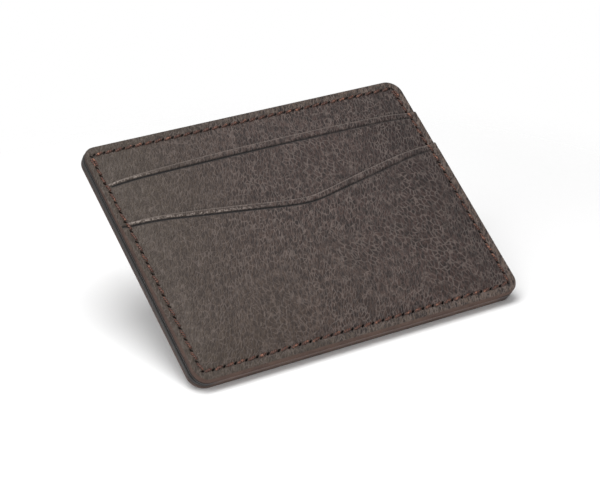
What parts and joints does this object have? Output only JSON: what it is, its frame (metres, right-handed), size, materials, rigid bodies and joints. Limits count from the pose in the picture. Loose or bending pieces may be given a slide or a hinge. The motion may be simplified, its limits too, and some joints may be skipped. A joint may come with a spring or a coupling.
{
  "type": "minimalist wallet",
  "caption": "Slim leather card wallet with a plain back, card pockets with a straight and a V-shaped lip, a centre slip pocket open at the top, and contrasting saddle stitching.",
  "frame": {"origin": "centre of the outline, on the plane that the back of the wallet rests on", "axes": "+X to the right across the width, +Y to the mouth at the top edge, +Z out of the front face with the card pockets"},
  "size_m": [0.102, 0.075, 0.0062],
  "materials": {
    "back_leather": "pebbled",
    "panel_leather": "fine grain",
    "pocket_leather": "pebbled",
    "lining": "matt",
    "thread": "waxed"
  },
  "bodies": {
    "root": {"back_panel": "back_leather", "back_lining": "lining", "front_lining": "lining", "front_panel": "panel_leather", "upper_card_pocket": "pocket_leather", "lower_card_pocket": "pocket_leather", "outer_seam_front_thread": "thread", "outer_seam_back_thread": "thread", "front_mouth_outer_thread": "thread", "front_mouth_inner_thread": "thread", "back_mouth_outer_thread": "thread", "back_mouth_inner_thread": "thread", "card_stop_front_thread": "thread", "card_stop_back_thread": "thread"}
  },
  "joints": []
}
